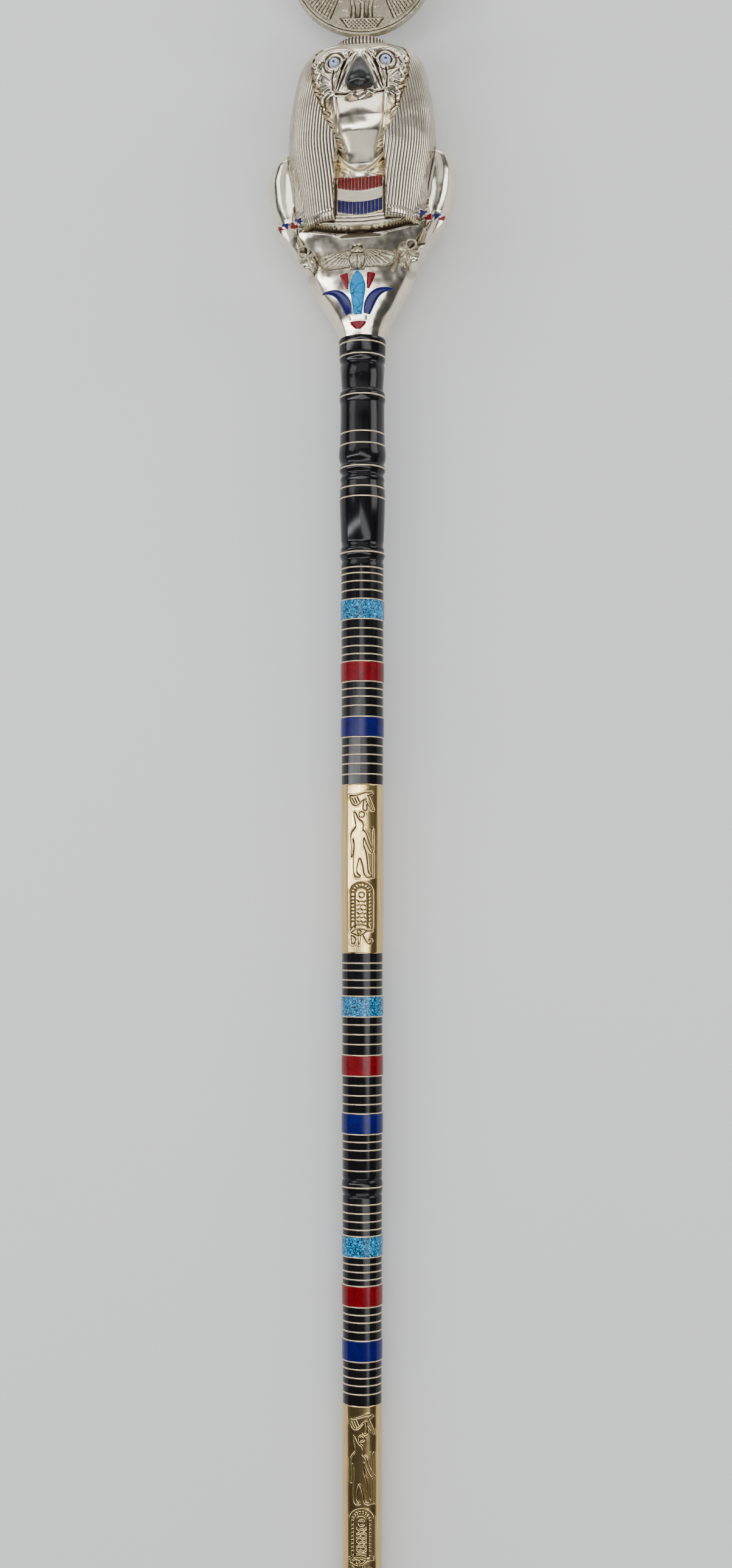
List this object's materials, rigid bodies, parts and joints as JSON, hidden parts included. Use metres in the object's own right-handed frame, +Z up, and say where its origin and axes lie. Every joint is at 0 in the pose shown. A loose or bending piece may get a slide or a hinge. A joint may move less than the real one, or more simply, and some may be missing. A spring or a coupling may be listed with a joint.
{
  "type": "sceptre",
  "caption": "Ceremonial sceptre: inlaid ebony shaft with brass rings and engraved sleeves, a cast falcon-headed bust and a relief sun disc on top.",
  "frame": {"origin": "middle of the underside of the sceptre as it lies on its back", "axes": "+Y from the foot to the sun disc, +X to the figure's left hand seen from the front, +Z up, where its face looks"},
  "size_m": [0.1056, 1, 0.0715],
  "materials": {
    "white_metal": "polished nickel silver, cast, with dark hollows",
    "old_silver": "antiqued nickel silver relief",
    "brass": "polished, engraved lines blackened",
    "ebony": "waxed ebony, satin",
    "turquoise": "crushed turquoise set in dark resin, polished",
    "coral": "crushed red coral set in resin, polished",
    "lapis": "crushed lapis set in resin, polished",
    "black_stone": "polished black stone",
    "blue_glass": "opaque pale blue glass"
  },
  "bodies": {
    "root": {"beak": "black_stone", "collar_coral_inlay": "coral", "collar_lapis_inlay": "lapis", "coral_band_1": "coral", "coral_band_2": "coral", "coral_band_3": "coral", "ebony_shaft": "ebony", "falcon_bust": "white_metal", "foot_ferrule": "brass", "lapis_band_1": "lapis", "lapis_band_2": "lapis", "lapis_band_3": "lapis", "left_ankh": "old_silver", "left_armlet_tile_1": "coral", "left_armlet_tile_2": "lapis", "left_armlet_tile_3": "coral", "left_armlet_tile_4": "lapis", "left_eye": "blue_glass", "lotus_coral_base": "coral", "lotus_left_coral_petal": "coral", "lotus_left_lapis_petal": "lapis", "lotus_right_coral_petal": "coral", "lotus_right_lapis_petal": "lapis", "lotus_turquoise_petal": "turquoise", "lower_sleeve": "brass", "right_ankh": "old_silver", "right_armlet_tile_1": "coral", "right_armlet_tile_2": "lapis", "right_armlet_tile_3": "coral", "right_armlet_tile_4": "lapis", "right_eye": "blue_glass", "sun_disc": "old_silver", "turquoise_band_1": "turquoise", "turquoise_band_2": "turquoise", "turquoise_band_3": "turquoise", "upper_sleeve": "brass", "winged_scarab": "old_silver"}
  },
  "joints": []
}
